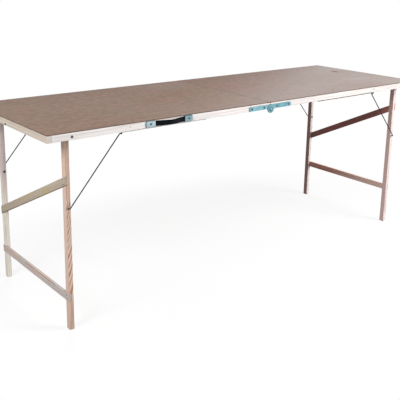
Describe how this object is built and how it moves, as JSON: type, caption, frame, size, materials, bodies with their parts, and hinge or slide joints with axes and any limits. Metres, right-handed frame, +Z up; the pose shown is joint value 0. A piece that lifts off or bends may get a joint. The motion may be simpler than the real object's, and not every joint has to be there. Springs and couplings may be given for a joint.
{
  "type": "folding pasting table",
  "caption": "Suitcase-folding pasting table: hinged hardboard top on timber rails, fold-in braced leg frames, wire stays, strap handle and hook catch.",
  "frame": {"origin": "on the floor, at the middle of the table's box in X and Y", "axes": "+X along the table towards the section without the handle, -Y towards the side with the handle, +Z up"},
  "size_m": [1.8374, 0.6086, 0.675],
  "materials": {
    "hardboard": "smooth pressed hardboard, pinkish brown",
    "rail_timber": "bare planed softwood, pale",
    "leg_timber": "bare planed softwood, reddish",
    "zinc_plate": "blue-white zinc plate",
    "steel_wire": "drawn wire, grey",
    "strap_plastic": "black moulded strap"
  },
  "bodies": {
    "left_half": {"left_top_board": "hardboard", "left_front_rail": "rail_timber", "left_back_rail": "rail_timber", "left_end_rail": "rail_timber", "left_centre_rail": "rail_timber", "left_front_pivot_bolt": "zinc_plate", "left_front_pivot_spacer": "zinc_plate", "left_front_pivot_nut": "zinc_plate", "left_back_pivot_bolt": "zinc_plate", "left_back_pivot_spacer": "zinc_plate", "left_back_pivot_nut": "zinc_plate", "left_front_stay_guide": "steel_wire", "left_back_stay_guide": "steel_wire", "front_hinge_left_leaf": "zinc_plate", "front_hinge_rivet": "zinc_plate", "front_hinge_left_inner_screw": "zinc_plate", "front_hinge_left_outer_screw": "zinc_plate", "back_hinge_left_leaf": "zinc_plate", "back_hinge_rivet": "zinc_plate", "back_hinge_left_inner_screw": "zinc_plate", "back_hinge_left_outer_screw": "zinc_plate", "handle_strap": "strap_plastic", "handle_left_cap": "zinc_plate", "handle_right_cap": "zinc_plate", "handle_left_screw": "zinc_plate", "handle_right_screw": "zinc_plate", "catch_pin": "zinc_plate"},
    "right_half": {"right_top_board": "hardboard", "right_front_rail": "rail_timber", "right_back_rail": "rail_timber", "right_end_rail": "rail_timber", "right_centre_rail": "rail_timber", "right_front_pivot_bolt": "zinc_plate", "right_front_pivot_spacer": "zinc_plate", "right_front_pivot_nut": "zinc_plate", "right_back_pivot_bolt": "zinc_plate", "right_back_pivot_spacer": "zinc_plate", "right_back_pivot_nut": "zinc_plate", "right_front_stay_guide": "steel_wire", "right_back_stay_guide": "steel_wire", "front_hinge_right_leaf": "zinc_plate", "front_hinge_right_inner_screw": "zinc_plate", "front_hinge_right_outer_screw": "zinc_plate", "back_hinge_right_leaf": "zinc_plate", "back_hinge_right_inner_screw": "zinc_plate", "back_hinge_right_outer_screw": "zinc_plate", "catch_hook_pin": "zinc_plate"},
    "left_legs": {"left_front_leg": "leg_timber", "left_back_leg": "leg_timber", "left_lower_stretcher": "leg_timber", "left_diagonal_brace": "leg_timber"},
    "right_legs": {"right_front_leg": "leg_timber", "right_back_leg": "leg_timber", "right_lower_stretcher": "leg_timber", "right_diagonal_brace": "leg_timber"},
    "left_front_stay_wire": {"left_front_stay": "steel_wire"},
    "left_back_stay_wire": {"left_back_stay": "steel_wire"},
    "right_front_stay_wire": {"right_front_stay": "steel_wire"},
    "right_back_stay_wire": {"right_back_stay": "steel_wire"},
    "catch": {"catch_hook": "zinc_plate"}
  },
  "joints": [
    {"name": "centre_fold", "type": "hinge", "parent": "left_half", "child": "right_half", "pos_m": [0, 0.00535, 0.6492], "axis": [0, 1, 0], "range_deg": [0, 90]},
    {"name": "left_legs_fold", "type": "hinge", "parent": "left_half", "child": "left_legs", "pos_m": [-0.832, 0.00535, 0.6595], "axis": [0, -1, 0], "range_deg": [0, 90]},
    {"name": "right_legs_fold", "type": "hinge", "parent": "right_half", "child": "right_legs", "pos_m": [0.832, 0.00535, 0.6595], "axis": [0, 1, 0], "range_deg": [0, 90]},
    {"name": "left_front_stay_turn", "type": "hinge", "parent": "left_legs", "child": "left_front_stay_wire", "pos_m": [-0.832, -0.23965, 0.4195], "axis": [0, -1, 0], "range_deg": [-145, 0]},
    {"name": "left_back_stay_turn", "type": "hinge", "parent": "left_legs", "child": "left_back_stay_wire", "pos_m": [-0.832, 0.25035, 0.4195], "axis": [0, -1, 0], "range_deg": [-145, 0]},
    {"name": "right_front_stay_turn", "type": "hinge", "parent": "right_legs", "child": "right_front_stay_wire", "pos_m": [0.832, -0.23965, 0.4195], "axis": [0, 1, 0], "range_deg": [-145, 0]},
    {"name": "right_back_stay_turn", "type": "hinge", "parent": "right_legs", "child": "right_back_stay_wire", "pos_m": [0.832, 0.25035, 0.4195], "axis": [0, 1, 0], "range_deg": [-145, 0]},
    {"name": "catch_hook_swing", "type": "hinge", "parent": "right_half", "child": "catch", "pos_m": [0.915, 0.00535, 0.662], "axis": [1, 0, 0], "range_deg": [-90, 90]}
  ],
  "couplings": [
    {"joint": "left_front_stay_turn", "follows": "left_legs_fold", "ratio": -1.597},
    {"joint": "left_back_stay_turn", "follows": "left_legs_fold", "ratio": -1.597},
    {"joint": "right_front_stay_turn", "follows": "right_legs_fold", "ratio": -1.597},
    {"joint": "right_back_stay_turn", "follows": "right_legs_fold", "ratio": -1.597}
  ]
}
